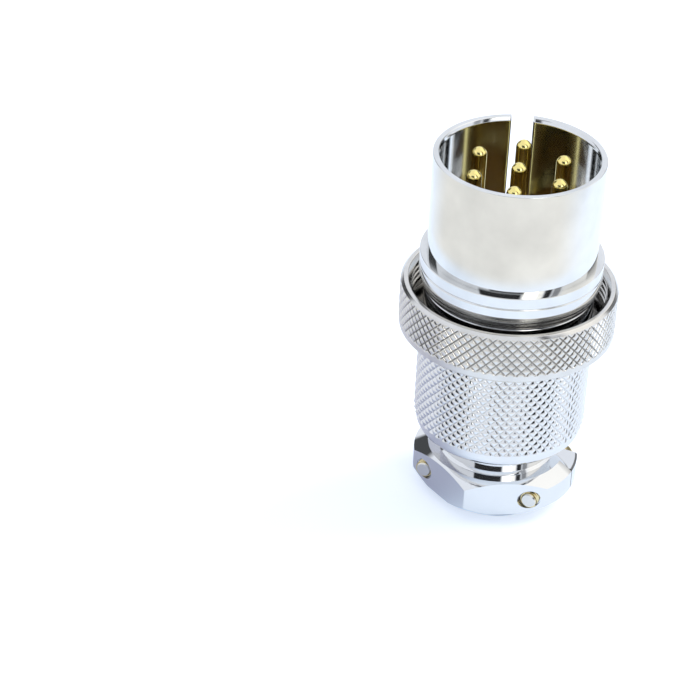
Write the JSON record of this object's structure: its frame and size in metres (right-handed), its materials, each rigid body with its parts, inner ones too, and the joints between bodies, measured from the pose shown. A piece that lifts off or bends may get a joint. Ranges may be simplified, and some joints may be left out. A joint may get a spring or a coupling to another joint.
{
  "type": "industrial circular connector",
  "caption": "Metal cable plug with domed pin contacts in a slotted tube, a loose knurled coupling ring, a knurled barrel and a split hex cable clamp with cross-recess screws.",
  "frame": {"origin": "On the connector's axis, in the end face of the cable clamp that it stands on", "axes": "+Z along the axis from the clamp to the contacts, +Y from the axis to the clamp saddle and the screw heads, X across the two clamp screws"},
  "size_m": [0.0322, 0.0322, 0.0575],
  "materials": {
    "chrome": "polished chrome plate on turned brass",
    "nickel": "satin nickel plate on turned brass",
    "gold": "gold plate on turned brass",
    "yellow_zinc": "yellow passivated zinc on steel",
    "phenolic": "moulded dark brown phenolic"
  },
  "bodies": {
    "connector_body": {"front_shell": "chrome", "insert_front": "phenolic", "insert_rear": "phenolic", "insert_ring": "chrome", "pin_1": "gold", "pin_2": "gold", "pin_3": "gold", "pin_4": "gold", "pin_5": "gold", "pin_6": "gold", "pin_7": "gold", "rear_barrel": "chrome", "clamp_body": "chrome"},
    "ring": {"coupling_ring": "nickel"},
    "saddle": {"clamp_saddle": "chrome"},
    "screw_1": {"clamp_screw_1": "yellow_zinc"},
    "screw_2": {"clamp_screw_2": "yellow_zinc"}
  },
  "joints": [
    {"name": "ring_turn", "type": "hinge", "parent": "connector_body", "child": "ring", "pos_m": [0, 0, 0.0328], "axis": [0, 0, 1], "continuous": true},
    {"name": "saddle_lift", "type": "slide", "parent": "connector_body", "child": "saddle", "axis": [0, 1, 0], "range_m": [0, 0.002]},
    {"name": "screw_1_turn", "type": "hinge", "parent": "saddle", "child": "screw_1", "pos_m": [0.0086, 0.0046, 0.0044], "axis": [0, 1, 0], "continuous": true},
    {"name": "screw_2_turn", "type": "hinge", "parent": "saddle", "child": "screw_2", "pos_m": [-0.0086, 0.0046, 0.0044], "axis": [0, 1, 0], "continuous": true}
  ]
}
